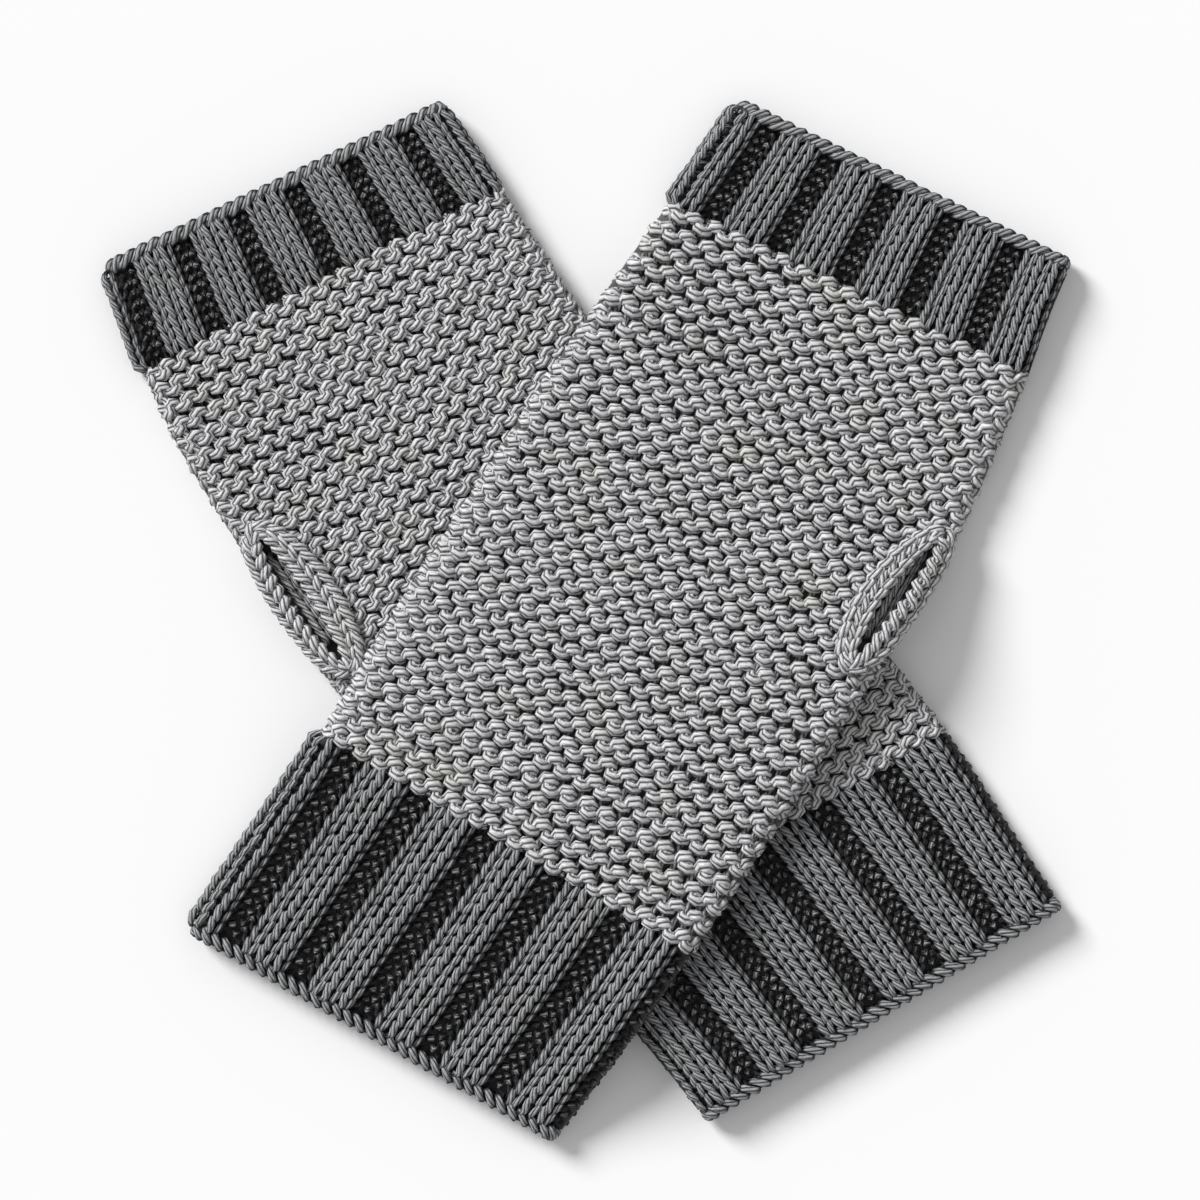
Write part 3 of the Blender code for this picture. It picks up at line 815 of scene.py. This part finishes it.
def base_piece(name, node, mitt, materials):
    """A copy of a solid with its top drawn in under the yarn, which closes the tube below it."""
    bm = bmesh.new()
    bm.from_mesh(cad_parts[node].data)
    bmesh.ops.remove_doubles(bm, verts=bm.verts, dist=MERGE * MM)
    bm.normal_update()
    for vert in bm.verts:
        x, y = vert.co.x / MM, vert.co.y / MM
        floor = float(lift(mitt, np.array([x]), np.array([y]))[0])
        lowest = (floor + UNDER_TOP + BASE_WALL) * MM
        if vert.normal.z >= DOWNWARD and vert.co.z > lowest:
            vert.co.z -= min(BASE_SINK * MM, vert.co.z - lowest)
    bm.normal_update()
    # Faces that are not turned down and lie off the floor take the second material, the cloth darkened
    # as painted shade; the underside keeps the plain cloth.
    for face in bm.faces:
        face.material_index = int(face.normal.z > DOWNWARD and face.calc_center_median().z > MM)
    mesh = bpy.data.meshes.new(name)
    bm.to_mesh(mesh)
    bm.free()
    for material in materials:
        mesh.materials.append(material)
    mesh.shade_smooth()
    piece = bpy.data.objects.new(name, mesh)
    bpy.context.scene.collection.objects.link(piece)
    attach(piece, "root")
    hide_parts(node)
    return piece


def settings():
    """The yarn's settings."""
    return bpy.context.scene.mitts_yarn


def made_material(name):
    """One of the materials, made when it is first asked for."""
    if name in bpy.data.materials:
        return bpy.data.materials[name]
    yarn = settings()
    shade = "light_grey" if name.startswith("light_grey") else "charcoal"
    colour = np.array(getattr(yarn, shade))
    if name.endswith("plied_yarn"):
        fibres = (DARK_FIBRES * colour, LIGHT_FIBRES * colour, colour * WARM_PATCHES)
        return yarn_material(name, *fibres, LIGHT_REACH[shade], yarn)
    # The inner loops are the cloth's colour darkened as painted shade, with more painted shade in their
    # gaps.
    if name.endswith("inner_loops"):
        return cloth_material(name, INNER_LOOP_SHADE * colour, INNER_GAP_SHADE * colour)
    # The underside's close knit has painted shade in the gaps between its loops.
    return cloth_material(name, colour, OUTER_GAP_SHADE * colour)


def knit(mitt, node, strands, colour):
    """A base of cloth in place of a node, and its yarn over it."""
    cloth = [made_material(colour.cloth), made_material(colour.inner)]
    base_piece(f"{mitt.name}_{node}_base", f"{mitt.name}_{node}", mitt, cloth)
    yarn_piece(f"{mitt.name}_{node}_yarn", strands, made_material(colour.yarn))


def declare_cloth(mitt, start, end):
    """Works out how far a mitt reaches to each side at the middle of a span; nothing is done with it.
    """
    left, right = widths(mitt, np.array([(start + end) / 2]))


class MittsYarn(bpy.types.PropertyGroup):
    """The yarn that both mitts are knitted from."""

    light_grey: FloatVectorProperty(
        name="Light Grey",
        description="Colour of the hands' yarn",
        subtype="COLOR",
        default=linear("#c1c1c3"),
        min=0.0,
        max=1.0,
    )
    charcoal: FloatVectorProperty(
        name="Charcoal",
        description="Colour of the cuffs' yarn",
        subtype="COLOR",
        default=linear("#96979a"),
        min=0.0,
        max=1.0,
    )
    plies: IntProperty(
        name="Plies", description="How many strands the yarn is twisted from", default=5, min=2
    )
    ply_lay: FloatProperty(
        name="Ply Lay",
        description="Length of yarn in which a ply goes once round it",
        subtype="DISTANCE",
        unit="LENGTH",
        default=0.012,
        min=0.001,
    )
    groove_shade: FloatProperty(
        name="Groove Shade",
        description="How light the grooves between the plies are, as a share of the yarn's colour",
        subtype="FACTOR",
        default=0.12,
        min=0.0,
        max=1.0,
    )
    seed: IntProperty(
        name="Unevenness", description="Which pattern of uneven stitches the knitting has", default=7
    )


class MittsStage(bpy.types.PropertyGroup):
    """The floor, lights and camera."""

    view_width: FloatProperty(
        name="View Width",
        description="Width of floor that the camera sees",
        subtype="DISTANCE",
        unit="LENGTH",
        default=0.2381,
    )
    lens: FloatProperty(
        name="Lens",
        description="Focal length of the camera",
        subtype="DISTANCE_CAMERA",
        unit="CAMERA",
        default=150.0,
    )
    key_strength: FloatProperty(
        name="Key Light", description="Strength of the soft light from the upper left", default=3.3
    )
    key_spread: FloatProperty(
        name="Key Spread",
        description="How wide the soft light looks from the floor",
        subtype="ANGLE",
        unit="ROTATION",
        default=math.radians(22.0),
    )
    floor: FloatVectorProperty(
        name="Floor", description="Colour of the floor", subtype="COLOR", default=linear("#fafafa")
    )


class MITTS_OT_hands(bpy.types.Operator):
    """Knit both mitts' hands, purl side out"""

    bl_idname = "mitts.hands"
    bl_label = "Hands"

    def execute(self, context):
        for mitt in (LOWER, UPPER):
            rng = np.random.default_rng(settings().seed + mitt.thumb_side)
            knit(mitt, "body", hand_strands(mitt, rng) + slit_strands(mitt, rng), GREY)
        return {"FINISHED"}


class MITTS_OT_cuffs(bpy.types.Operator):
    """Knit the ribbed cuffs at the wrists and fingers"""

    bl_idname = "mitts.cuffs"
    bl_label = "Ribbed Cuffs"

    def execute(self, context):
        for mitt in (LOWER, UPPER):
            rng = np.random.default_rng(settings().seed + 10 + mitt.thumb_side)
            finger, wrist = mitt.finger_cuff, mitt.wrist_cuff
            spans = (
                ("finger_rib", finger, mitt.finger_stitch, finger.start + EDGE_WIDTH, finger.end),
                ("wrist_rib", wrist, mitt.wrist_stitch, wrist.start, wrist.end - EDGE_WIDTH),
            )
            for node, cuff, stitch, start, end in spans:
                knit(mitt, node, rib_strands(mitt, cuff, stitch, start, end, rng), CHARCOAL)
        return {"FINISHED"}


class MITTS_OT_edges(bpy.types.Operator):
    """Bind off the finger ends and cast on the wrist ends"""

    bl_idname = "mitts.edges"
    bl_label = "Edges"

    def execute(self, context):
        for mitt in (LOWER, UPPER):
            rng = np.random.default_rng(settings().seed + 20 + mitt.thumb_side)
            finger, wrist = mitt.finger_cuff, mitt.wrist_cuff
            bound = edge_strands(mitt, finger.start, finger.start + EDGE_WIDTH, BIND_OFF, rng)
            knit(mitt, "bind_off", bound, CHARCOAL)
            declare_cloth(mitt, finger.start + EDGE_WIDTH, finger.end)
            cast = edge_strands(mitt, wrist.end, wrist.end - EDGE_WIDTH, CAST_ON, rng)
            knit(mitt, "cast_on", cast, CHARCOAL)
            declare_cloth(mitt, wrist.start, wrist.end - EDGE_WIDTH)
        return {"FINISHED"}


class MITTS_OT_thumbs(bpy.types.Operator):
    """Knit the braided border round each thumb's slit"""

    bl_idname = "mitts.thumbs"
    bl_label = "Thumb Borders"

    def execute(self, context):
        for mitt in (LOWER, UPPER):
            rng = np.random.default_rng(settings().seed + 30 + mitt.thumb_side)
            yarn = yarn_piece(
                f"{mitt.name}_thumb_border_yarn",
                border_strands(mitt, rng),
                made_material(GREY.yarn),
            )
            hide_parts(f"{mitt.name}_thumb_border")
            start, end = mitt.finger_cuff.end, mitt.wrist_cuff.start
            declare_cloth(mitt, start, end)
        return {"FINISHED"}


class MITTS_OT_stage(bpy.types.Operator):
    """Set the white floor, the soft light and the camera straight above"""

    bl_idname = "mitts.stage"
    bl_label = "Stage"

    def execute(self, context):
        stage = context.scene.mitts_stage
        self.add_floor(context, stage)
        self.add_key(context, stage)
        world = bpy.data.worlds.new("studio")
        world.use_nodes = True
        background = world.node_tree.nodes["Background"]
        background.inputs["Color"].default_value = (1, 1, 1, 1)
        background.inputs["Strength"].default_value = SKY_STRENGTH
        context.scene.world = world
        context.scene.view_settings.view_transform = "Standard"
        self.add_camera(context, stage)
        return {"FINISHED"}

    def add_floor(self, context, stage):
        bm = bmesh.new()
        bmesh.ops.create_grid(bm, x_segments=1, y_segments=1, size=FLOOR_REACH)
        mesh = bpy.data.meshes.new("floor")
        bm.to_mesh(mesh)
        bm.free()
        floor = bpy.data.objects.new("floor", mesh)
        context.scene.collection.objects.link(floor)
        paper = bpy.data.materials.new("matte_white_paper")
        paper.use_nodes = True
        shader = paper.node_tree.nodes["Principled BSDF"]
        shader.inputs["Base Color"].default_value = (*stage.floor, 1.0)
        shader.inputs["Roughness"].default_value = 0.95
        shader.inputs["Specular IOR Level"].default_value = 0.1
        mesh.materials.append(paper)

    def add_key(self, context, stage):
        light = bpy.data.lights.new("key", "SUN")
        light.energy = stage.key_strength
        light.angle = stage.key_spread
        lamp = bpy.data.objects.new("key", light)
        lamp.location = KEY_PLACE
        lamp.rotation_euler = lamp.location.to_track_quat("Z", "Y").to_euler()
        context.scene.collection.objects.link(lamp)

    def add_camera(self, context, stage):
        camera_data = bpy.data.cameras.new("camera")
        camera_data.lens = stage.lens
        camera_data.clip_end = 10.0
        camera = bpy.data.objects.new("camera", camera_data)
        distance = stage.view_width * stage.lens / camera_data.sensor_width
        camera.location = (CAMERA_X, CAMERA_Y, distance + HAND_HEIGHT * MM)
        context.scene.collection.objects.link(camera)
        context.scene.camera = camera


class MITTS_PT_panel(bpy.types.Panel):
    """The mitts' settings and steps"""

    bl_label = "Fingerless Mitts"
    bl_space_type = "VIEW_3D"
    bl_region_type = "UI"
    bl_category = "Mitts"

    def draw(self, context):
        layout = self.layout
        for group in (context.scene.mitts_yarn, context.scene.mitts_stage):
            box = layout.box()
            for name in group.bl_rna.properties.keys():
                if name not in ("rna_type", "name"):
                    box.prop(group, name)
        for step in STEPS:
            layout.operator(step.bl_idname)


STEPS = (MITTS_OT_hands, MITTS_OT_cuffs, MITTS_OT_edges, MITTS_OT_thumbs, MITTS_OT_stage)
CLASSES = (MittsYarn, MittsStage, *STEPS, MITTS_PT_panel)


def register():
    for cls in CLASSES:
        bpy.utils.register_class(cls)
    bpy.types.Scene.mitts_yarn = PointerProperty(type=MittsYarn)
    bpy.types.Scene.mitts_stage = PointerProperty(type=MittsStage)


def unregister():
    del bpy.types.Scene.mitts_stage
    del bpy.types.Scene.mitts_yarn
    for cls in reversed(CLASSES):
        bpy.utils.unregister_class(cls)


def main():
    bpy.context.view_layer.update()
    register()
    bpy.ops.mitts.hands()
    bpy.ops.mitts.cuffs()
    bpy.ops.mitts.edges()
    bpy.ops.mitts.thumbs()
    bpy.ops.mitts.stage()
    bpy.context.view_layer.update()


if __name__ == "__main__":
    main()
